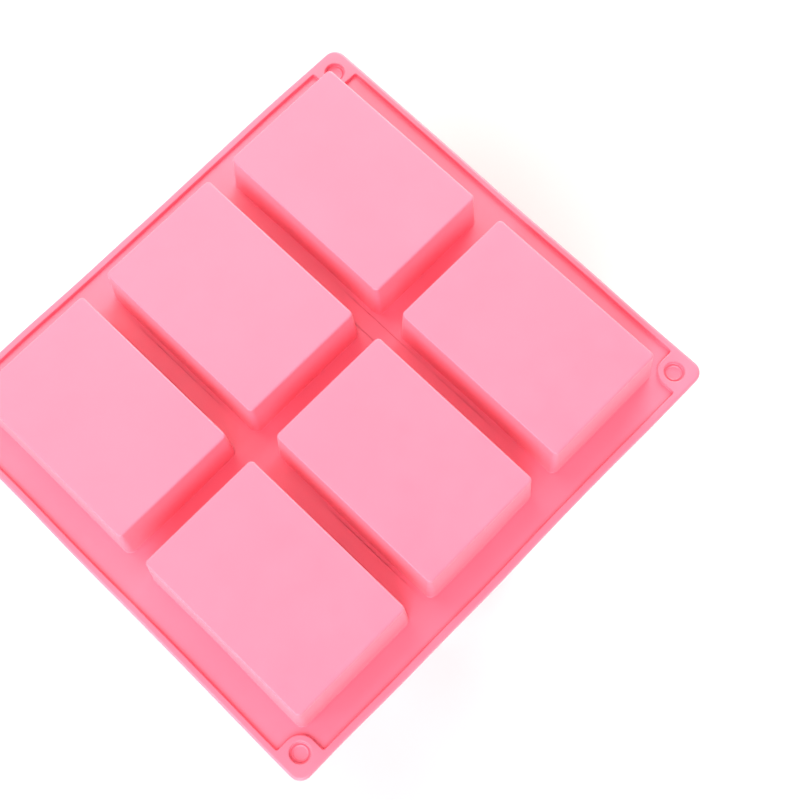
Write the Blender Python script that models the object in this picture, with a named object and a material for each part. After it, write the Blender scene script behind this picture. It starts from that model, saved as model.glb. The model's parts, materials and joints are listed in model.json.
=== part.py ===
"""A flexible six-cavity soap mould, standing on its open side.

Metres, +Z up. X is the long side with three columns of cavities, Y the short side with two rows.
The origin is at the centre of the open face, which is the plane that the mould stands on.
One silicone moulding is divided where it gives in use: two fold lines between the columns,
and a line round each cavity floor, which a thumb pushes in to free a bar.
"""

import math

import bmesh
import bpy

# Driving dimensions
MOULD_LENGTH = 0.240
MOULD_WIDTH = 0.222
OUTER_CORNER_RADIUS = 0.0055
WEB_THICKNESS = 0.0018
RIM_RISE = 0.0017
RIM_WIDTH = 0.0032

COLUMN_PITCH = 0.0730
ROW_PITCH = 0.1018
FLOOR_LENGTH = 0.0876  # along Y
FLOOR_WIDTH = 0.0596  # along X
CUP_RISE = 0.0250  # from the web's outer face to the floor's outer face
WALL_DRAFT = 0.0011 / CUP_RISE  # outward per metre of depth
WALL_THICKNESS = 0.0018
FLOOR_THICKNESS = 0.0020
CUP_CORNER_RADIUS = 0.0020
CAVITY_CORNER_RADIUS = 0.0015
CUP_EDGE_ROUND = 0.0008

TAB_RECESS_INSET = 0.0092  # recess centre from each outer edge
TAB_NOSE_RADIUS = 0.0071  # the tab's inner corner, about the recess centre
RECESS_RADIUS = 0.0044
RECESS_DEPTH = 0.0020

JOINT_GAP = 0.0003  # clearance round pieces that touch in the real moulding
FOLD_GAP = 0.0018  # width of the flexing line between two columns

# Worked out
RIM_HEIGHT = WEB_THICKNESS + RIM_RISE
CUP_TOP = WEB_THICKNESS + CUP_RISE
FOLD_X = COLUMN_PITCH / 2
FOLD_Z = WEB_THICKNESS / 2
TAB_SIDE = TAB_RECESS_INSET + TAB_NOSE_RADIUS
OVERSHOOT = 0.001  # how far a cutter runs past the face it cuts

COLUMNS = (("left", -1), ("middle", 0), ("right", 1))
ROWS = (("front", -1), ("back", 1))

SILICONE = (0.94, 0.34, 0.42, 1.0)


def clear_scene():
    for obj in list(bpy.data.objects):
        bpy.data.objects.remove(obj, do_unlink=True)


def new_collection(name):
    collection = bpy.data.collections.new(name)
    bpy.context.scene.collection.children.link(collection)
    return collection


def silicone_material(name, shade=1.0):
    """Soft matte silicone; shade darkens the colour a little from one region to the next."""
    material = bpy.data.materials.new(name)
    material.use_nodes = True
    shader = material.node_tree.nodes["Principled BSDF"]
    colour = [channel * shade for channel in SILICONE[:3]] + [1.0]
    shader.inputs["Base Color"].default_value = colour
    shader.inputs["Roughness"].default_value = 0.55
    shader.inputs["Metallic"].default_value = 0.0
    return material


def add_object(name, bm, collection, material=None):
    mesh = bpy.data.meshes.new(name)
    bm.to_mesh(mesh)
    bm.free()
    if material:
        mesh.materials.append(material)
    obj = bpy.data.objects.new(name, mesh)
    collection.objects.link(obj)
    return obj


def make_cutter(obj):
    obj.hide_render = True
    obj.display_type = "WIRE"
    return obj


def upright_edges(bm, wanted=lambda x, y: True):
    """The block's vertical edges whose corner passes the test."""
    found = []
    for edge in bm.edges:
        low, high = edge.verts
        if abs(low.co.z - high.co.z) > 1e-5 and wanted(low.co.x, low.co.y):
            found.append(edge)
    return found


def block(half_x, half_y, z_low, z_high, draft=0.0):
    """A box about the Z axis. With draft, half_x and half_y hold at z_high and the foot is wider."""
    bm = bmesh.new()
    bmesh.ops.create_cube(bm, size=1.0)
    widening = draft * (z_high - z_low)
    for vert in bm.verts:
        grow = widening if vert.co.z < 0 else 0.0
        vert.co.x = math.copysign(half_x + grow, vert.co.x)
        vert.co.y = math.copysign(half_y + grow, vert.co.y)
        vert.co.z = z_low if vert.co.z < 0 else z_high
    return bm


def round_corners(bm, radius, segments=6, wanted=lambda x, y: True):
    bmesh.ops.bevel(
        bm,
        geom=upright_edges(bm, wanted),
        offset=radius,
        segments=segments,
        profile=0.5,
        affect="EDGES",
    )


def cut(target, cutter, name):
    modifier = target.modifiers.new(name, "BOOLEAN")
    modifier.operation = "DIFFERENCE"
    modifier.solver = "EXACT"
    modifier.object = cutter


def cup_half_size(z, inwards=0.0):
    """Half the cup's outer X and Y sizes at height z, less a wall or a clearance."""
    widening = WALL_DRAFT * (CUP_TOP - z) - inwards
    return FLOOR_WIDTH / 2 + widening, FLOOR_LENGTH / 2 + widening


def cup_block(z_low, z_high, inwards, corner_radius):
    half_x, half_y = cup_half_size(z_high, inwards)
    bm = block(half_x, half_y, z_low, z_high, WALL_DRAFT)
    round_corners(bm, corner_radius)
    return bm


def cup_wall_mesh(parts, cutters):
    """A cavity wall: a drafted tube with rounded corners and a soft outer top edge."""
    outer = cup_block(0.0, CUP_TOP, 0.0, CUP_CORNER_RADIUS)
    top_edges = [e for e in outer.edges if all(v.co.z > CUP_TOP - 1e-6 for v in e.verts)]
    bmesh.ops.bevel(outer, geom=top_edges, offset=CUP_EDGE_ROUND, segments=2, profile=0.5, affect="EDGES")
    wall = add_object("cup_wall", outer, parts)
    hollow = cup_block(-OVERSHOOT, CUP_TOP + OVERSHOOT, WALL_THICKNESS, CAVITY_CORNER_RADIUS)
    inside = make_cutter(add_object("cup_inside_cutter", hollow, cutters))
    cut(wall, inside, "inside")
    return applied_mesh(wall)


def applied_mesh(obj):
    """The object's mesh with its modifiers applied; the object itself is removed."""
    bpy.context.view_layer.update()
    graph = bpy.context.evaluated_depsgraph_get()
    mesh = bpy.data.meshes.new_from_object(obj.evaluated_get(graph))
    bpy.data.objects.remove(obj, do_unlink=True)
    return mesh


def cup_floor_mesh():
    """A cavity floor: a plate inside the wall's upper end, flush with its outer face."""
    inwards = WALL_THICKNESS + JOINT_GAP
    bm = cup_block(CUP_TOP - FLOOR_THICKNESS, CUP_TOP, inwards, CAVITY_CORNER_RADIUS - JOINT_GAP)
    bmesh.ops.translate(bm, verts=bm.verts, vec=(0, 0, -CUP_TOP))
    mesh = bpy.data.meshes.new("cup_floor")
    bm.to_mesh(mesh)
    bm.free()
    return mesh


def tab_block(z_low, z_high, grow=0.0):
    """A corner tab's outline, with its outer corner at the origin and its body towards +X and +Y."""
    bm = block(TAB_SIDE / 2 + grow, TAB_SIDE / 2 + grow, z_low, z_high)
    bmesh.ops.translate(bm, verts=bm.verts, vec=(TAB_SIDE / 2, TAB_SIDE / 2, 0))
    middle = TAB_SIDE / 2
    round_corners(bm, TAB_NOSE_RADIUS + grow, 8, lambda x, y: x > middle and y > middle)
    return bm


def corner_tab_mesh(parts, cutters):
    """A corner tab at rim height, with a round blind recess in its outer face."""
    bm = tab_block(0.0, RIM_HEIGHT)
    middle = TAB_SIDE / 2
    round_corners(bm, OUTER_CORNER_RADIUS, 6, lambda x, y: x < middle and y < middle)
    tab = add_object("corner_tab", bm, parts)
    drill = bmesh.new()
    bmesh.ops.create_cone(
        drill,
        cap_ends=True,
        segments=32,
        radius1=RECESS_RADIUS,
        radius2=RECESS_RADIUS,
        depth=RECESS_DEPTH + OVERSHOOT,
    )
    depth_centre = RIM_HEIGHT + (OVERSHOOT - RECESS_DEPTH) / 2
    bmesh.ops.translate(drill, verts=drill.verts, vec=(TAB_RECESS_INSET, TAB_RECESS_INSET, depth_centre))
    recess = make_cutter(add_object("tab_recess_cutter", drill, cutters))
    cut(tab, recess, "recess")
    return applied_mesh(tab)


def corner_of(side_x, side_y):
    """Outer corner of the mould and the turn that points a tab's body inwards from it."""
    turn = {(-1, -1): 0, (1, -1): 90, (1, 1): 180, (-1, 1): 270}[(side_x, side_y)]
    return side_x * MOULD_LENGTH / 2, side_y * MOULD_WIDTH / 2, math.radians(turn)


def column_span(side):
    """The lowest and highest X of a column's web, clear of its fold lines."""
    inner = FOLD_X - FOLD_GAP / 2
    if side == 0:
        return -inner, inner
    far = MOULD_LENGTH / 2
    return (inner + FOLD_GAP, far) if side > 0 else (-far, -inner - FOLD_GAP)


def web_panel(column, side, parts, cutters, material):
    """One column of the flat web with its stretch of raised rim, open where the cups pass."""
    low, high = column_span(side)
    bm = block((high - low) / 2, MOULD_WIDTH / 2, 0.0, RIM_HEIGHT)
    bmesh.ops.translate(bm, verts=bm.verts, vec=((high + low) / 2, 0, 0))
    panel = add_object(f"web_{column}", bm, parts, material)

    lowered = block(
        MOULD_LENGTH / 2 - RIM_WIDTH, MOULD_WIDTH / 2 - RIM_WIDTH, WEB_THICKNESS, RIM_HEIGHT + OVERSHOOT
    )
    field = make_cutter(add_object(f"web_{column}_field_cutter", lowered, cutters))
    cut(panel, field, "lowered field")

    for row, end in ROWS:
        opening = cup_block(-OVERSHOOT, RIM_HEIGHT + OVERSHOOT, -JOINT_GAP, CUP_CORNER_RADIUS + JOINT_GAP)
        cutter = make_cutter(add_object(f"web_{column}_{row}_opening_cutter", opening, cutters))
        cutter.location = (side * COLUMN_PITCH, end * ROW_PITCH / 2, 0)
        cut(panel, cutter, f"{row} opening")
        if side:
            notch = tab_block(-OVERSHOOT, RIM_HEIGHT + OVERSHOOT, JOINT_GAP)
            seat = make_cutter(add_object(f"tab_{column}_{row}_seat_cutter", notch, cutters))
            x, y, turn = corner_of(side, end)
            seat.location = (x, y, 0)
            seat.rotation_euler = (0, 0, turn)
            cut(panel, seat, f"{row} tab seat")
    return panel


def add_copy(name, mesh, parts, material, location, turn=0.0):
    obj = bpy.data.objects.new(name, mesh.copy())
    obj.data.name = name
    obj.data.materials.clear()
    obj.data.materials.append(material)
    obj.location = location
    obj.rotation_euler = (0, 0, turn)
    parts.objects.link(obj)
    return obj


def add_axis(name, parts, location):
    """An empty on a joint's axis, which carries the pieces that move with it."""
    empty = bpy.data.objects.new(name, None)
    empty.location = location
    empty.empty_display_size = 0.02
    parts.objects.link(empty)
    return empty


def hang_on(parent, children):
    """Parents the children without moving them."""
    bpy.context.view_layer.update()
    for child in children:
        child.parent = parent
        child.matrix_parent_inverse = parent.matrix_world.inverted()


def smooth_rounds(obj):
    obj.data.shade_smooth()
    obj.data.set_sharp_from_angle(angle=math.radians(30))


def build():
    clear_scene()
    parts = new_collection("six_bar_soap_mould")
    cutters = new_collection("cutters")
    cutters.hide_render = True
    skins = {
        "web": silicone_material("web_silicone"),
        "wall": silicone_material("wall_silicone", 0.94),
        "floor": silicone_material("floor_silicone", 1.05),
        "tab": silicone_material("tab_silicone", 0.98),
    }
    wall_mesh = cup_wall_mesh(parts, cutters)
    floor_mesh = cup_floor_mesh()
    tab_mesh = corner_tab_mesh(parts, cutters)

    for column, side in COLUMNS:
        carried = [web_panel(column, side, parts, cutters, skins["web"])]
        for row, end in ROWS:
            centre = (side * COLUMN_PITCH, end * ROW_PITCH / 2)
            where = f"{row}_{column}"
            carried.append(
                add_copy(f"cup_wall_{where}", wall_mesh, parts, skins["wall"], (*centre, 0))
            )
            floor = add_copy(f"cup_floor_{where}", floor_mesh, parts, skins["floor"], (*centre, CUP_TOP))
            carried.append(floor)
            if side:
                x, y, turn = corner_of(side, end)
                carried.append(
                    add_copy(f"corner_tab_{where}", tab_mesh, parts, skins["tab"], (x, y, 0), turn)
                )
        if side:
            axis = add_axis(f"fold_axis_{column}", parts, (side * FOLD_X, 0, FOLD_Z))
            hang_on(axis, carried)

    for obj in parts.objects:
        if obj.type == "MESH":
            smooth_rounds(obj)


build()
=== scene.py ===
import json
import math

import bpy
import numpy as np
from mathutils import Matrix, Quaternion, Vector
from mathutils.geometry import delaunay_2d_cdt, tessellate_polygon


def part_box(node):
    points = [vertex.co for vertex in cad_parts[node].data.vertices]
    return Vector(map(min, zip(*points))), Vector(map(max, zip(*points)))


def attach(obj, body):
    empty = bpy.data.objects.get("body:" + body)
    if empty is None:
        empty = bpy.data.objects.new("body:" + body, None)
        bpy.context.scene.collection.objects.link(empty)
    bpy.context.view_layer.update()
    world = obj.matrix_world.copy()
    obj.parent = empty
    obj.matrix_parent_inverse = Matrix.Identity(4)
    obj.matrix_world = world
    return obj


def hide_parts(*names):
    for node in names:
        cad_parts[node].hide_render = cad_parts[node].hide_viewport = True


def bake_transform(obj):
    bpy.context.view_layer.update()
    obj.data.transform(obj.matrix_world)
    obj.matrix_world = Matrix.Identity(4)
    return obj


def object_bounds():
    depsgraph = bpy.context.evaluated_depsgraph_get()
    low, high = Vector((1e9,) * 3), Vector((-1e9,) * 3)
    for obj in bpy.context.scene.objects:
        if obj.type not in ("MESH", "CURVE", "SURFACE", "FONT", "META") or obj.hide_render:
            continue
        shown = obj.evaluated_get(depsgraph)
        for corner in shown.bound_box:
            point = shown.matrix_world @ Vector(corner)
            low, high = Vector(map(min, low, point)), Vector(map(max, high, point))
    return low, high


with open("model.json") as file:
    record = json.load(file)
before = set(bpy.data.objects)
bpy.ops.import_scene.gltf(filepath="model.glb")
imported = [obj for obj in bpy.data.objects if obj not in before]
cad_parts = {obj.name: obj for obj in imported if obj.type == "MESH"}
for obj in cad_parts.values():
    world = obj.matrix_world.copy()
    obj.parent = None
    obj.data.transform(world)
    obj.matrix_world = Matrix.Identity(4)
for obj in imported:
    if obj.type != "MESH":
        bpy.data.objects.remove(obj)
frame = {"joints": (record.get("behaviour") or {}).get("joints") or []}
cadLow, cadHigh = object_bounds()

# Metres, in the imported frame: the mould stands on its open side, X along its three columns of cups.
columns = {"left": -1, "middle": 0, "right": 1}
rows = {"front": -1, "back": 1}
foldHinge = next(joint for joint in frame["joints"] if joint["name"] == "fold_right")

mould = {
    "halfLength": (cadHigh.x - cadLow.x) / 2,
    "halfWidth": (cadHigh.y - cadLow.y) / 2,
    "underside": cadLow.z,
    "webTop": 2 * foldHinge["pos_m"][2],  # the fold runs at half the web's thickness
    "rimTop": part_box("web_middle")[1].z,
    "cupTop": cadHigh.z,
    "floorUnderside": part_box("cup_floor_front_middle")[0].z,
    "foldX": foldHinge["pos_m"][0],
}


# a skin gathers one piece's surface as points and faces
allSkins = []
spreadClearance = 0.45  # share of their spacing that points spread over a flat keep clear of its edges
weldScale = 4e4  # points less than about 0.02 mm apart become one
weldShift = 0.123  # keeps points on round sizes off the steps of that scale


def newSkin(name):
    skin = {"name": name, "points": [], "faces": [], "hidden": []}
    allSkins.append(skin)
    return skin


# hidden faces close a piece where it meets its neighbour, and don't shape the shared normals
def addFaces(skin, points, faces, flip=False, hidden=False):
    start = sum(len(block) for block in skin["points"])
    skin["points"].append(np.asarray(points, float).reshape(-1, 3))
    for face in faces:
        face = [start + index for index in face]
        skin["faces"].append(face[::-1] if flip else face)
        skin["hidden"].append(hidden)


# rows of points joined into quads, facing (along a row) x (from row to row)
def addGrid(skin, grid, closed=False, flip=False, hidden=False):
    grid = np.asarray(grid, float)
    count = grid.shape[1]
    faces = []
    for row in range(grid.shape[0] - 1):
        for column in range(count if closed else count - 1):
            after = (column + 1) % count
            near, far = row * count, (row + 1) * count
            faces.append((near + column, near + after, far + after, far + column))
    addFaces(skin, grid.reshape(-1, 3), faces, flip, hidden)


def atHeight(outline, z):
    outline = np.asarray(outline, float)
    return np.column_stack([outline, np.full(len(outline), z)])


# points round part of a circle, angles in degrees
def arc(centre, radius, start, end, steps):
    angles = np.radians(np.linspace(start, end, steps + 1))
    return np.column_stack([centre[0] + radius * np.cos(angles), centre[1] + radius * np.sin(angles)])


def line(start, end, steps):
    return np.linspace(start, end, steps + 1)


# stretches joined end to end, without repeating the point where two meet
def joined(*stretches):
    kept = [np.asarray(stretches[0], float)]
    for stretch in stretches[1:]:
        kept.append(np.asarray(stretch, float)[1:])
    return np.vstack(kept)


def insideOutline(points, outline):
    x, y = points[:, 0][:, None], points[:, 1][:, None]
    startX, startY = outline[:, 0], outline[:, 1]
    endX, endY = np.roll(startX, -1), np.roll(startY, -1)
    level = np.where(endY == startY, 1.0, endY - startY)
    crosses = ((startY > y) != (endY > y)) & (x < (endX - startX) * (y - startY) / level + startX)
    return crosses.sum(axis=1) % 2 == 1


def clearOf(points, outline, gap):
    along = np.roll(outline, -1, axis=0) - outline
    length = np.maximum((along**2).sum(axis=1), 1e-12)
    offset = points[:, None, :] - outline[None]
    share = np.clip((offset * along).sum(axis=2) / length, 0, 1)
    nearest = offset - share[..., None] * along
    return np.sqrt((nearest**2).sum(axis=2)).min(axis=1) > gap


# a flat area with holes, triangulated at one height with points spread over it
def addFlat(skin, outline, holes, z, spacing, flip=False):
    loops = [np.asarray(outline, float)] + [np.asarray(hole, float) for hole in holes]
    low, high = loops[0].min(axis=0), loops[0].max(axis=0)
    gridX = np.arange(low[0] + spacing / 2, high[0], spacing)
    gridY = np.arange(low[1] + spacing / 2, high[1], spacing)
    spread = np.array([(x + (row % 2) * spacing / 2, y) for row, y in enumerate(gridY) for x in gridX])
    spread = spread.reshape(-1, 2)
    if len(spread):
        keep = insideOutline(spread, loops[0])
        for loop in loops:
            keep &= clearOf(spread, loop, spacing * spreadClearance)
        for hole in loops[1:]:
            keep &= ~insideOutline(spread, hole)
        spread = spread[keep]
    edges = []
    count = 0
    for loop in loops:
        edges += [(count + i, count + (i + 1) % len(loop)) for i in range(len(loop))]
        count += len(loop)
    flat = np.vstack(loops + [spread])
    made = delaunay_2d_cdt([Vector(point) for point in flat], edges, [], 0, 1e-7)
    points = np.array([tuple(point) for point in made[0]])
    triangles = np.array([tuple(face) for face in made[2]])
    middles = points[triangles].mean(axis=1)
    keep = insideOutline(middles, loops[0])
    for hole in loops[1:]:
        keep &= ~insideOutline(middles, hole)
    triangles = triangles[keep]
    one, two, three = (points[triangles[:, i]] for i in range(3))
    turn = (two - one)[:, 0] * (three - one)[:, 1] - (two - one)[:, 1] * (three - one)[:, 0]
    triangles[turn < 0] = triangles[turn < 0][:, ::-1]
    addFaces(skin, atHeight(points, z), triangles.tolist(), flip)


def mirrorSkin(skin):
    skin["points"] = [block * (-1, 1, 1) for block in skin["points"]]
    skin["faces"] = [face[::-1] for face in skin["faces"]]


# the rim, its step down to the web, and the corner tabs
rim = {
    "cornerRadius": 0.0055,
    "width": 0.0032,  # outer edge to the middle of the step
    "step": [  # how far past the step's middle towards the web, and share of the step's rise
        (0.00066, 0.0),
        (0.00048, -0.01),
        (0.00034, -0.05),
        (0.00022, -0.085),
        (0.00010, -0.03),
        (0.00003, 0.16),
        (-0.00002, 0.50),
        (-0.00008, 0.82),
        (-0.00018, 0.94),
        (-0.00034, 0.985),
        (-0.00056, 1.0),
    ],
    "edge": [  # in from the outer edge, and share of the rim's height
        (0.00130, 1.0),
        (0.00088, 0.985),
        (0.00052, 0.945),
        (0.00024, 0.88),
        (0.00006, 0.78),
        (0.0, 0.66),
        (0.0, 0.22),
        (0.00007, 0.10),
        (0.00022, 0.03),
        (0.00045, 0.0),
    ],
    "spacing": 0.004,
    "undersideSpacing": 1.5,  # times the spacing on top
    "cornerSteps": 8,
    "sideSteps": 40,
    "frontSteps": 16,
    "middleSteps": 16,
}

tab = {
    "recessInset": 0.0092,  # recess centre from each outer edge
    "noseRadius": 0.0071,
    "notchRadius": 0.0009,
    "recess": [  # radius, and depth below the rim's top
        (0.00500, 0.0),
        (0.00472, 0.00003),
        (0.00454, 0.00012),
        (0.00444, 0.00030),
        (0.00439, 0.00080),
        (0.00436, 0.00140),
        (0.00428, 0.00182),
        (0.00408, 0.00198),
        (0.00372, 0.00196),
        (0.00348, 0.00178),
        (0.00330, 0.00160),
        (0.00314, 0.00160),
        (0.00298, 0.00182),
        (0.00284, 0.00206),
        (0.00258, 0.00214),
        (0.00150, 0.00216),
        (0.00030, 0.00216),
    ],
    "ringSteps": 40,
    "noseSteps": 10,
    "notchSteps": 4,
    "flankSteps": 3,  # along the straights between nose and notches
}
tab["side"] = tab["recessInset"] + tab["noseRadius"]

fold = {
    "halfStrip": 0.0037,  # the strip of web and rim round the fold line between two columns
    "steps": 14,
    "webSteps": 54,
    "undersideSteps": 54,
}
stripInner = mould["foldX"] - fold["halfStrip"]
stripOuter = mould["foldX"] + fold["halfStrip"]


# outlines run anticlockwise; a side column has one from its front seam round to its back seam
def edgeLines(side, inset):
    length, width = mould["halfLength"], mould["halfWidth"]
    if side == 0:
        front = line((-stripInner, inset - width), (stripInner, inset - width), rim["middleSteps"])
        return [front, -front]
    radius = rim["cornerRadius"]
    turn = (length - radius, width - radius)
    corner = arc(turn, radius - inset, 0, 90, rim["cornerSteps"])
    frontCorner = corner[::-1] * (1, -1)
    return [
        joined(
            line((stripOuter, inset - width), frontCorner[0], rim["frontSteps"]),
            frontCorner,
            line(frontCorner[-1], corner[0], rim["sideSteps"]),
            corner,
            line(corner[-1], (stripOuter, width - inset), rim["frontSteps"]),
        )
    ]


# the foot of the rim's step, going round each corner tab; offset moves it towards the web
def stepLines(side, offset):
    length, width = mould["halfLength"], mould["halfWidth"]
    inset = rim["width"] + offset
    if side == 0:
        front = line((-stripInner, inset - width), (stripInner, inset - width), rim["middleSteps"])
        return [front, -front]
    notch = tab["notchRadius"] - offset
    tabSide = tab["side"] + offset
    nose = (length - tab["recessInset"], width - tab["recessInset"])
    notchSteps, flankSteps = tab["notchSteps"], tab["flankSteps"]
    sideNotch = arc((length - inset - notch, width - tabSide - notch), notch, 0, 90, notchSteps)
    noseArc = arc(nose, tab["noseRadius"] + offset, 270, 180, tab["noseSteps"])
    backNotch = arc((length - tabSide - notch, width - inset - notch), notch, 0, 90, notchSteps)
    back = joined(
        line((length - inset, 0), sideNotch[0], rim["sideSteps"] // 2),
        sideNotch,
        line(sideNotch[-1], noseArc[0], flankSteps),
        noseArc,
        line(noseArc[-1], backNotch[0], flankSteps),
        backNotch,
        line(backNotch[-1], (stripOuter, width - inset), rim["frontSteps"]),
    )
    front = back[::-1] * (1, -1)
    return [joined(front, back)]


def stepHeight(share):
    return mould["webTop"] + share * (mould["rimTop"] - mould["webTop"])


def edgeHeight(share):
    return mould["underside"] + share * (mould["rimTop"] - mould["underside"])


# the web and rim cut straight across a fold, as (y, z) from the front edge over the top and back below
def foldSection():
    width = mould["halfWidth"]
    half = []
    for inset, share in reversed(rim["edge"]):
        half.append((inset - width, edgeHeight(share)))
    for offset, share in reversed(rim["step"]):
        half.append((rim["width"] + offset - width, stepHeight(share)))
    half = np.array(half)
    other = half[::-1] * (-1, 1)
    web = line(half[-1], other[0], fold["webSteps"])
    below = line(other[-1], half[0], fold["undersideSteps"])
    return joined(half, web, other, below)[:-1]


def addSectionCap(skin, x, facesX):
    section = foldSection()
    corners = [Vector((y, z, 0)) for y, z in section]
    faces = []
    for a, b, c in tessellate_polygon([corners]):
        turn = (corners[b] - corners[a]).cross(corners[c] - corners[a]).z
        faces.append((a, b, c) if (turn > 0) == facesX else (c, b, a))
    points = np.column_stack([np.full(len(section), x), section])
    addFaces(skin, points, faces, hidden=True)


def ribbon(skin, linesAt, profile, heightAt, side):
    for index in range(len(linesAt(side, 0))):
        grid = [atHeight(linesAt(side, out)[index], heightAt(share)) for out, share in profile]
        addGrid(skin, grid, flip=True)


def recessCentre(side, row):
    inset = tab["recessInset"]
    return np.array([side * (mould["halfLength"] - inset), row * (mould["halfWidth"] - inset)])


def recessRing(side, row, radius):
    return arc(recessCentre(side, row), radius, 0, 360, tab["ringSteps"])[:-1]


def addDisc(skin, ring, z, flip=False):
    count = len(ring)
    points = atHeight(np.vstack([ring, [ring.mean(axis=0)]]), z)
    addFaces(skin, points, [(i, (i + 1) % count, count) for i in range(count)], flip)


# the stepped round recess in a corner tab, down to the underside
def tabRecess(name, side, row):
    skin = newSkin(name)
    grid = []
    for radius, depth in tab["recess"]:
        grid.append(atHeight(recessRing(side, row, radius), mould["rimTop"] - depth))
    addGrid(skin, grid, closed=True)
    radius, depth = tab["recess"][-1]
    addDisc(skin, recessRing(side, row, radius), mould["rimTop"] - depth)
    mouth = recessRing(side, row, tab["recess"][0][0])
    addDisc(skin, mouth, mould["underside"], flip=True)
    closing = [atHeight(mouth, mould["underside"]), atHeight(mouth, mould["rimTop"])]
    addGrid(skin, closing, closed=True, hidden=True)


def webColumn(name, side):
    build = abs(side)  # the left column is the right one mirrored
    skin = newSkin(name)
    cupSeams = [cupRing(build, row, cupSeamOut()) for row in rows.values()]
    mouths = [recessRing(build, row, tab["recess"][0][0]) for row in rows.values() if build]

    step = stepLines(build, rim["step"][0][0])
    inner = stepLines(build, rim["step"][-1][0])
    outer = edgeLines(build, rim["edge"][0][0])
    below = edgeLines(build, rim["edge"][-1][0])
    seamX = stripOuter if build else stripInner
    webEnd = mould["halfWidth"] - rim["width"] - rim["step"][0][0]
    belowEnd = mould["halfWidth"] - rim["edge"][-1][0]
    webSeam = line((seamX, webEnd), (seamX, -webEnd), fold["webSteps"])
    belowSeam = line((seamX, belowEnd), (seamX, -belowEnd), fold["undersideSteps"])
    if build:
        webOutline = joined(step[0], webSeam)[:-1]
        belowOutline = joined(below[0], belowSeam)[:-1]
    else:
        webOutline = joined(step[0], webSeam[::-1], step[1], webSeam * (-1, 1))[:-1]
        belowOutline = joined(below[0], belowSeam[::-1], below[1], belowSeam * (-1, 1))[:-1]

    underSpacing = rim["spacing"] * rim["undersideSpacing"]
    addFlat(skin, webOutline, cupSeams, mould["webTop"], rim["spacing"])
    addFlat(skin, belowOutline, cupSeams + mouths, mould["underside"], underSpacing, flip=True)
    for outerLine, innerLine in zip(outer, inner):
        rimTop = np.vstack([outerLine, innerLine[::-1]])
        addFlat(skin, rimTop, mouths, mould["rimTop"], rim["spacing"])
    ribbon(skin, stepLines, rim["step"], stepHeight, build)
    ribbon(skin, edgeLines, rim["edge"], edgeHeight, build)
    for rings, top in ((cupSeams, mould["webTop"]), (mouths, mould["rimTop"])):
        for ring in rings:
            addGrid(skin, [atHeight(ring, top), atHeight(ring, mould["underside"])], True, hidden=True)
    if build:
        addSectionCap(skin, stripOuter, False)
    else:
        addSectionCap(skin, stripInner, True)
        addSectionCap(skin, -stripInner, False)
    if side < 0:
        mirrorSkin(skin)
    return skin


def foldStrip(name, side):
    skin = newSkin(name)
    section = foldSection()
    section = np.vstack([section, section[:1]])
    grid = []
    for x in line([stripInner], [stripOuter], fold["steps"])[:, 0]:
        grid.append(np.column_stack([np.full(len(section), x), section]))
    addGrid(skin, grid, flip=True)
    addSectionCap(skin, stripInner, False)
    addSectionCap(skin, stripOuter, True)
    if side < 0:
        mirrorSkin(skin)
    return skin


# a cup's wall is swept round one profile; its floor is a middle and four mitred sides
cup = {
    "lean": 0.0011 / 0.025,  # how far the wall spreads for each metre down
    "wallThickness": 0.0018,
    "cornerRadius": 0.0020,
    "edgeRound": 0.0009,  # where the floor turns into the wall
    "footFillet": 0.00028,
    "footCrease": 0.00007,  # a fine crease runs round the wall's foot
    "creaseStart": (0.0003, 0.1),  # in from the seam, and share of the crease's depth
    "creaseEnd": (0.0002, 0.65),  # out from the fillet, and share of the crease's depth
    "seamFromWall": 0.0011,
    "innerFillet": 0.0018,
    "lipRound": 0.0005,
    "borderRings": (0.0017, 0.0024, 0.0031),  # on the floor's border, in from the wall
    "floorMargin": 0.0040,  # rigid border of the floor, inside the wall
    "giveWidth": 0.0180,  # width of the floor's four mitred sides, round its middle
    "cornerSteps": 7,
    "alongX": 14,
    "alongY": 20,
    "giveSteps": 12,
    "outerRows": 9,
    "innerRows": 6,
    "filletSteps": 4,
    "edgeSteps": 5,
}


def cupCentre(side, row):
    column = {value: key for key, value in columns.items()}[side]
    name = {value: key for key, value in rows.items()}[row]
    low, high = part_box(f"cup_wall_{name}_{column}")
    return np.array([(low.x + high.x) / 2, (low.y + high.y) / 2])


def cupHalf():
    low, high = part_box("cup_wall_front_middle")
    spread = cup["lean"] * (high.z - low.z)
    return np.array([(high.x - low.x) / 2 - spread, (high.y - low.y) / 2 - spread])


# a ring round the cup; out is measured from the top of the outer wall
def cupRing(side, row, out):
    half = cupHalf() + out
    radius = max(0.0, cup["cornerRadius"] + out)
    turn = half - radius
    corners = []
    for signX, signY, start in ((1, 1, 0), (-1, 1, 90), (-1, -1, 180), (1, -1, 270)):
        corners.append(arc(turn * (signX, signY), radius, start, start + 90, cup["cornerSteps"]))
    ring = []
    for index, corner in enumerate(corners):
        after = corners[(index + 1) % 4][0]
        steps = cup["alongY"] if index % 2 else cup["alongX"]
        ring.append(corner)
        ring.append(line(corner[-1], after, steps)[1:-1])
    return cupCentre(side, row) + np.vstack(ring)


def wallOut(z):
    return cup["lean"] * (mould["cupTop"] - z)


def cupSeamOut():
    return wallOut(mould["webTop"]) + cup["seamFromWall"]


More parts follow.
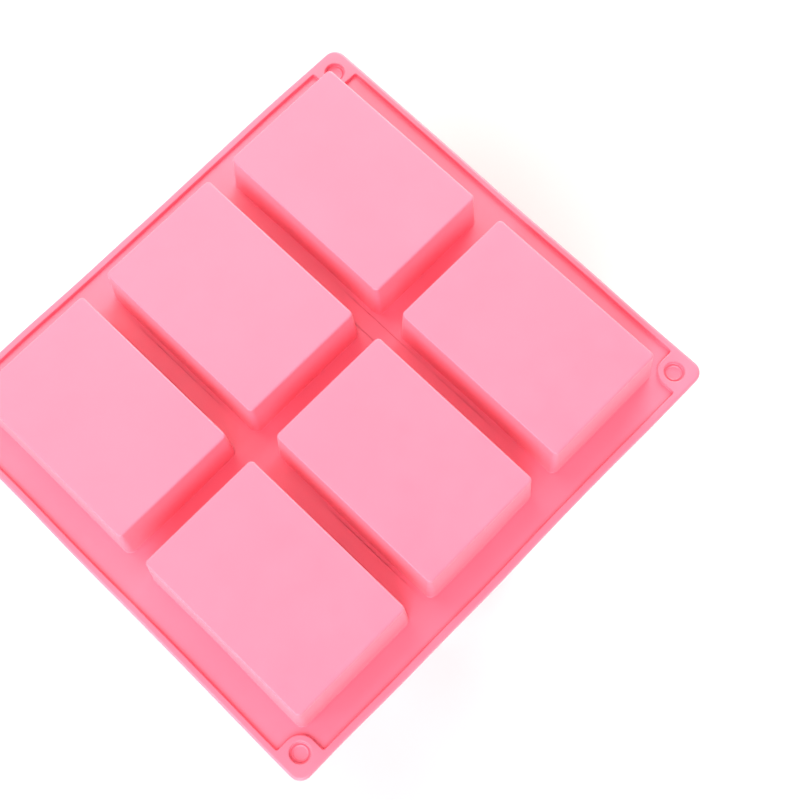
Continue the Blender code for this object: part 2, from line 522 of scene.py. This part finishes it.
# (out, z) from the seam on the web, up the wall, over the floor's border, and back down inside
def cupProfile():
    top, web, under = mould["cupTop"], mould["webTop"], mould["floorUnderside"]
    fillet, edge, inside = cup["footFillet"], cup["edgeRound"], cup["innerFillet"]
    thickness, lip = cup["wallThickness"], cup["lipRound"]
    seam, crease, steps = cupSeamOut(), cup["footCrease"], cup["filletSteps"]
    foot = arc((wallOut(web + fillet) + fillet, web + fillet), fillet, 270, 180, steps)
    foot[:, 1] -= crease * np.linspace(1, 0, len(foot)) ** 2
    (fromSeam, shallow), (fromFoot, deep) = cup["creaseStart"], cup["creaseEnd"]
    creaseFrom = (seam - fromSeam, web - shallow * crease)
    creaseTo = (foot[0, 0] + fromFoot, web - deep * crease)
    lead = [(seam, web), creaseFrom, creaseTo]
    shoulder = top - edge
    wall = [(wallOut(z), z) for z in np.linspace(web + fillet, shoulder, cup["outerRows"])]
    turnOver = arc((wallOut(shoulder) - edge, shoulder), edge, 0, 90, cup["edgeSteps"])
    border = [(-inset, top) for inset in (*cup["borderRings"], cup["floorMargin"])]
    innerTop = wallOut(under - inside) - thickness
    innerTurn = arc((innerTop - inside, under - inside), inside, 90, 0, steps)
    inner = [(wallOut(z) - thickness, z) for z in np.linspace(under - inside, lip, cup["innerRows"])]
    innerFoot = wallOut(lip) - thickness
    lipTurn = arc((innerFoot + lip, lip), lip, 180, 270, steps)
    outer = np.vstack([lead, foot, wall[1:], turnOver[1:], border])
    start, end = (-cup["floorMargin"], under), (seam, mould["underside"])
    within = np.vstack([[start], innerTurn, inner[1:], lipTurn[1:], [end]])
    return outer, within


def cupWall(name, side, row):
    skin = newSkin(name)
    outer, within = cupProfile()
    outerGrid = [atHeight(cupRing(side, row, out), z) for out, z in outer]
    innerGrid = [atHeight(cupRing(side, row, out), z) for out, z in within]
    addGrid(skin, outerGrid, closed=True)
    addGrid(skin, innerGrid, closed=True)
    addGrid(skin, [outerGrid[-1], innerGrid[0]], closed=True, hidden=True)
    addGrid(skin, [innerGrid[-1], outerGrid[0]], closed=True, hidden=True)
    return skin


# a sheet as thick as the floor, closed round its border
def addSlab(skin, grid):
    top = atHeightGrid(grid, mould["cupTop"])
    below = atHeightGrid(grid, mould["floorUnderside"])
    addGrid(skin, top)
    addGrid(skin, below, flip=True)
    for pick in (lambda g: g[0], lambda g: g[:, -1], lambda g: g[-1, ::-1], lambda g: g[::-1, 0]):
        addGrid(skin, [pick(below), pick(top)], hidden=True)


def atHeightGrid(grid, z):
    grid = np.asarray(grid, float)
    return np.concatenate([grid, np.full(grid.shape[:2] + (1,), z)], axis=2)


def floorSides(side, row):
    middle = cupCentre(side, row)
    border = cupHalf() - cup["floorMargin"]
    sides = {}
    turns = {"right": (1, 0), "back": (0, 1), "left": (-1, 0), "front": (0, -1)}
    for name, (towardX, towardY) in turns.items():
        steps = cup["alongY"] if towardX else cup["alongX"]
        grid = []
        for inset in np.linspace(0, cup["giveWidth"], cup["giveSteps"] + 1):
            half = border - inset
            out = np.array([towardX, towardY]) * half
            along = np.array([-towardY, towardX]) * half
            grid.append(middle + line(out - along, out + along, steps))
        sides[name] = (np.array(grid), grid[0].mean(axis=0), grid[-1].mean(axis=0))
    return sides


def floorMiddle(side, row):
    half = cupHalf() - cup["floorMargin"] - cup["giveWidth"]
    across = line([-half[0]], [half[0]], cup["alongX"])[:, 0]
    along = line([-half[1]], [half[1]], cup["alongY"])[:, 0]
    grid = [[(x, y) for x in across] for y in along]
    return cupCentre(side, row) + np.array(grid)


# silicone lies a little uneven: the web lifts and the walls wander at their feet
give = {
    "webLift": 0.00030,
    "footWander": 0.00045,
    "floorCrown": 0.00018,
    "waves": [  # strength, turns along x and y in radians a metre, and share of the phase
        (1.0, 47, 23, 1.0),
        (0.8, -31, 58, 1.7),
        (0.5, 88, 71, 2.9),
        (0.3, -120, 97, 0.6),
    ],
    "strongest": 2.6,  # all four waves together
    "phase": {"x": 0.4, "y": 2.1, "lift": 4.0, "crown": 5.2},
}


def waves(points, phase):
    x, y = points[:, 0], points[:, 1]
    total = np.zeros(len(points))
    for strength, turnX, turnY, share in give["waves"]:
        total += strength * np.sin(turnX * x + turnY * y + share * phase)
    return total / give["strongest"]


def softened(points):
    height = np.clip(points[:, 2] / mould["cupTop"], 0, 1)
    moved = points.copy()
    loose = give["footWander"] * (1 - height)
    phase = give["phase"]
    moved[:, 0] += loose * waves(points, phase["x"])
    moved[:, 1] += loose * waves(points, phase["y"])
    moved[:, 2] += give["webLift"] * (0.5 + 0.5 * waves(points, phase["lift"])) * (1 - height)
    moved[:, 2] += give["floorCrown"] * waves(points, phase["crown"]) * height
    return moved


# points with the same key are one point, within a piece and between neighbours
def weldKeys(points):
    return np.round(points * weldScale + weldShift).astype(np.int64)


def welded(skin):
    points = np.vstack(skin["points"])
    _, first, index = np.unique(weldKeys(points), axis=0, return_index=True, return_inverse=True)
    index = index.reshape(-1)
    order = np.argsort(first, kind="stable")  # keeps the order in which points were made
    place = np.empty_like(order)
    place[order] = np.arange(len(order))
    faces = []
    hidden = []
    for face, unseen in zip(skin["faces"], skin["hidden"]):
        ring = [int(place[index[i]]) for i in face]
        ring = [v for i, v in enumerate(ring) if v != ring[i - 1]]
        if len(set(ring)) >= 3:
            faces.append(ring)
            hidden.append(unseen)
    return points[first[order]], faces, hidden


def faceNormal(corners):
    after = np.roll(corners, -1, axis=0)
    return np.cross(corners, after).sum(axis=0) / 2  # its length is the face's area


def buildMeshes():
    made = []
    shared = {}
    for skin in allSkins:
        rest, faces, hidden = welded(skin)
        points = softened(rest)
        keys = [tuple(key) for key in weldKeys(rest)]
        normals = [faceNormal(points[face] - points[face[0]]) for face in faces]
        for face, unseen, normal in zip(faces, hidden, normals):
            if unseen:
                continue
            for vertex in face:
                shared[keys[vertex]] = shared.get(keys[vertex], 0) + normal
        made.append((skin["name"], points, faces, hidden, keys, normals))
    objects = {}
    for name, points, faces, hidden, keys, normals in made:
        mesh = bpy.data.meshes.new(name)
        mesh.from_pydata(points.tolist(), [], faces)
        mesh.polygons.foreach_set("use_smooth", [True] * len(faces))
        closing = set()
        for face, unseen in zip(faces, hidden):
            if unseen:
                closing.update(tuple(sorted((face[i - 1], face[i]))) for i in range(len(face)))
        mesh.edges.foreach_set("use_edge_sharp", [edge.key in closing for edge in mesh.edges])
        corners = []
        for face, unseen, normal in zip(faces, hidden, normals):
            for vertex in face:
                direction = normal if unseen else shared[keys[vertex]]
                corners.append(direction / max(np.linalg.norm(direction), 1e-15))
        mesh.normals_split_custom_set(corners)
        mesh.validate()
        piece = bpy.data.objects.new(name, mesh)
        bpy.context.scene.collection.objects.link(piece)
        objects[name] = piece
    return objects


silicone = {
    "pink": (0.945, 0.158, 0.250),
    "milky": (0.955, 0.186, 0.280),
    "warm": (0.935, 0.146, 0.228),
    "roughness": (0.40, 0.52),
    "refraction": 1.50,
    "gloss": 0.9,
    "powder": 0.15,  # dusty sheen of demoulded silicone
    "powderRoughness": 0.6,
    # patterns: scale, detail and roughness of the noise, the stretch of it that shows, and how strongly
    "clouds": {"scale": 22, "detail": 3, "roughness": 0.5, "shows": (0.35, 0.68), "most": 0.35},
    "warmth": {"scale": 55, "detail": 4, "roughness": 0.6, "shows": (0.45, 0.75), "most": 0.25},
    "fleck": {"scale": 1400, "detail": 2, "roughness": 0.5, "shows": (0.60, 0.78), "most": 0.22},
    "handling": {"scale": 130, "detail": 5, "roughness": 0.6, "shows": (0.3, 0.7)},
    "grain": {"scale": 2600, "detail": 3, "roughness": 0.6, "strength": 0.35, "height": 0.00006},
}


def noise(tree, place, pattern):
    node = tree.nodes.new("ShaderNodeTexNoise")
    node.inputs["Scale"].default_value = pattern["scale"]
    node.inputs["Detail"].default_value = pattern["detail"]
    node.inputs["Roughness"].default_value = pattern["roughness"]
    tree.links.new(place, node.inputs["Vector"])
    return node.outputs["Fac"]


def ranged(tree, value, fromLow, fromHigh, toLow, toHigh):
    node = tree.nodes.new("ShaderNodeMapRange")
    node.inputs["From Min"].default_value = fromLow
    node.inputs["From Max"].default_value = fromHigh
    node.inputs["To Min"].default_value = toLow
    node.inputs["To Max"].default_value = toHigh
    tree.links.new(value, node.inputs["Value"])
    return node.outputs["Result"]


def patches(tree, place, pattern, low, high):
    return ranged(tree, noise(tree, place, pattern), *pattern["shows"], low, high)


def mixed(tree, share, first, second):
    node = tree.nodes.new("ShaderNodeMix")
    node.data_type = "RGBA"
    tree.links.new(share, node.inputs["Factor"])
    for socket, colour in ((node.inputs[6], first), (node.inputs[7], second)):
        if isinstance(colour, tuple):
            socket.default_value = (*colour, 1.0)
        else:
            tree.links.new(colour, socket)
    return node.outputs[2]


def siliconeFinish(name):
    material = bpy.data.materials.new(name)
    material.use_nodes = True
    tree = material.node_tree
    shader = tree.nodes["Principled BSDF"]
    shader.inputs["IOR"].default_value = silicone["refraction"]
    shader.inputs["Sheen Weight"].default_value = silicone["powder"]
    shader.inputs["Sheen Roughness"].default_value = silicone["powderRoughness"]
    shader.inputs["Specular IOR Level"].default_value = silicone["gloss"]
    place = tree.nodes.new("ShaderNodeTexCoord").outputs["Object"]

    # pigment: broad milky and warm clouds, and a powdery fleck
    colour = silicone["pink"]
    for pattern, tint in (("clouds", "milky"), ("warmth", "warm"), ("fleck", "milky")):
        share = patches(tree, place, silicone[pattern], 0.0, silicone[pattern]["most"])
        colour = mixed(tree, share, colour, silicone[tint])
    tree.links.new(colour, shader.inputs["Base Color"])

    # handling leaves a patchy sheen
    rough = patches(tree, place, silicone["handling"], *silicone["roughness"])
    tree.links.new(rough, shader.inputs["Roughness"])

    # the mould's sandblasted face leaves a fine grain
    grain = silicone["grain"]
    bump = tree.nodes.new("ShaderNodeBump")
    bump.inputs["Strength"].default_value = grain["strength"]
    bump.inputs["Distance"].default_value = grain["height"]
    tree.links.new(noise(tree, place, grain), bump.inputs["Height"])
    tree.links.new(bump.outputs["Normal"], shader.inputs["Normal"])
    return material


studio = {
    "floorColour": (0.78, 0.78, 0.78),
    "floorRoughness": 0.85,
    "floorGloss": 0.2,
    "floorSize": 6.0,
    "standHalf": (0.033, 0.095),  # the stand under the middle column lets the side columns fold down
    "standHeight": 0.086,
    "standGap": 0.00005,
    "roomColour": (1.0, 0.985, 0.98),
    "roomWalls": 0.90,  # the room is brighter round its walls than overhead
    "roomCeiling": 0.30,
}

softboxes = [
    {
        "name": "key",
        "place": (0.04, 1.05, 1.40),
        "size": 1.3,
        "power": 10.7,
        "colour": (1.0, 1.0, 0.98),
    },
    {
        "name": "right softbox",
        "place": (2.60, 1.50, 1.50),
        "size": 2.0,
        "power": 120,
        "colour": (1.0, 0.99, 0.92),
    },
    {
        "name": "left softbox",
        "place": (-2.60, 0.50, 2.00),
        "size": 2.0,
        "power": 58,
        "colour": (1.0, 1.0, 1.0),
    },
    {
        "name": "front softbox",
        "place": (-1.90, -1.80, 2.00),
        "size": 2.0,
        "power": 90,
        "colour": (0.97, 0.98, 1.0),
    },
]

view = {
    "aim": (0.0220, -0.0265, 0.0),
    "azimuth": -41.16,
    "elevation": 72.41,
    "distance": 0.7399,
    "roll": 4.62,
    "lens": 78.6,
    "clipStart": 0.01,
}


def addSoftbox(box):
    data = bpy.data.lights.new(box["name"], "AREA")
    data.size = box["size"]
    data.energy = box["power"]
    data.color = box["colour"]
    light = bpy.data.objects.new(box["name"], data)
    light.rotation_mode = "QUATERNION"
    light.location = box["place"]
    light.rotation_quaternion = (-Vector(box["place"])).to_track_quat("-Z", "Y")
    bpy.context.scene.collection.objects.link(light)


def buildStage():
    half = studio["floorSize"] / 2
    standTop = mould["underside"] - studio["standGap"]
    ground = standTop - studio["standHeight"]
    x, y = studio["standHalf"]
    points = [(-half, -half, ground), (half, -half, ground), (half, half, ground), (-half, half, ground)]
    for z in (ground, standTop):
        points += [(-x, -y, z), (x, -y, z), (x, y, z), (-x, y, z)]
    sides = [(4 + i, 4 + (i + 1) % 4, 8 + (i + 1) % 4, 8 + i) for i in range(4)]
    mesh = bpy.data.meshes.new("tabletop")
    mesh.from_pydata(points, [], [(0, 1, 2, 3), (8, 9, 10, 11), *sides])
    tabletop = bpy.data.objects.new("tabletop", mesh)
    bpy.context.scene.collection.objects.link(tabletop)
    material = bpy.data.materials.new("pale tabletop")
    material.use_nodes = True
    shader = material.node_tree.nodes["Principled BSDF"]
    shader.inputs["Base Color"].default_value = (*studio["floorColour"], 1.0)
    shader.inputs["Roughness"].default_value = studio["floorRoughness"]
    shader.inputs["Specular IOR Level"].default_value = studio["floorGloss"]
    mesh.materials.append(material)
    world = bpy.data.worlds.new("soft room")
    world.use_nodes = True
    background = world.node_tree.nodes["Background"]
    background.inputs["Color"].default_value = (*studio["roomColour"], 1.0)
    nodes, links = world.node_tree.nodes, world.node_tree.links
    split = nodes.new("ShaderNodeSeparateXYZ")
    links.new(nodes.new("ShaderNodeTexCoord").outputs["Generated"], split.inputs["Vector"])
    height = split.outputs["Z"]
    glow = ranged(world.node_tree, height, 0.0, 1.0, studio["roomWalls"], studio["roomCeiling"])
    links.new(glow, background.inputs["Strength"])
    bpy.context.scene.world = world
    bpy.context.scene.view_settings.view_transform = "Standard"
    for box in softboxes:
        addSoftbox(box)


def buildCamera():
    azimuth, elevation = math.radians(view["azimuth"]), math.radians(view["elevation"])
    flat = math.cos(elevation)
    back = Vector((math.sin(azimuth) * flat, -math.cos(azimuth) * flat, math.sin(elevation)))
    data = bpy.data.cameras.new("camera")
    data.lens = view["lens"]
    data.clip_start = view["clipStart"]
    camera = bpy.data.objects.new("camera", data)
    bpy.context.scene.collection.objects.link(camera)
    camera.rotation_mode = "QUATERNION"
    camera.location = Vector(view["aim"]) + back * view["distance"]
    turn = Quaternion((0, 0, 1), -math.radians(view["roll"]))
    camera.rotation_quaternion = (-back).to_track_quat("-Z", "Y") @ turn
    bpy.context.scene.camera = camera


def buildMould():
    for column, side in columns.items():
        webColumn(f"web_skin_{column}", side)
        for rowName, row in rows.items():
            if side:
                tabRecess(f"tab_recess_{rowName}_{column}", side, row)
            cupWall(f"cup_skin_{rowName}_{column}", side, row)
            for sideName, (grid, _, _) in floorSides(side, row).items():
                addSlab(newSkin(f"floor_side_{rowName}_{column}_{sideName}"), grid)
            addSlab(newSkin(f"floor_middle_{rowName}_{column}"), floorMiddle(side, row))
    foldStrip("fold_strip_left", -1)
    foldStrip("fold_strip_right", 1)
    pieces = buildMeshes()
    print("skins built:", len(pieces))
    return pieces


def dressMould(pieces):
    slots = ("web", "cup_wall", "cup_floor", "corner_tab")
    finishes = {slot: siliconeFinish(f"silicone {slot}") for slot in slots}

    def dress(piece, slot):
        piece.data.materials.append(finishes[slot])

    for column, side in columns.items():
        body = f"{column}_column"
        web = pieces[f"web_skin_{column}"]
        dress(web, "web")
        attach(web, body)
        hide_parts(f"web_{column}")
        for rowName, row in rows.items():
            if side:
                recess = pieces[f"tab_recess_{rowName}_{column}"]
                dress(recess, "corner_tab")
                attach(recess, body)
                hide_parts(f"corner_tab_{rowName}_{column}")
            wall = pieces[f"cup_skin_{rowName}_{column}"]
            dress(wall, "cup_wall")
            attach(wall, body)
            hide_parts(f"cup_wall_{rowName}_{column}")
            floorBody = f"floor_{rowName}_{column}"
            middle = pieces[f"floor_middle_{rowName}_{column}"]
            dress(middle, "cup_floor")
            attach(middle, floorBody)
            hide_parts(f"cup_floor_{rowName}_{column}")
            for sideName, (_, start, end) in floorSides(side, row).items():
                giving = pieces[f"floor_side_{rowName}_{column}_{sideName}"]
                dress(giving, "cup_floor")
                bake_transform(giving)
    for column in ("left", "right"):
        side = columns[column]
        strip = pieces[f"fold_strip_{column}"]
        dress(strip, "web")
        height = foldHinge["pos_m"][2]
        start, end = (side * stripInner, 0, height), (side * stripOuter, 0, height)
        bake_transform(strip)
    print("pieces on their bodies")


buildStage()
buildCamera()
pieces = buildMould()
dressMould(pieces)
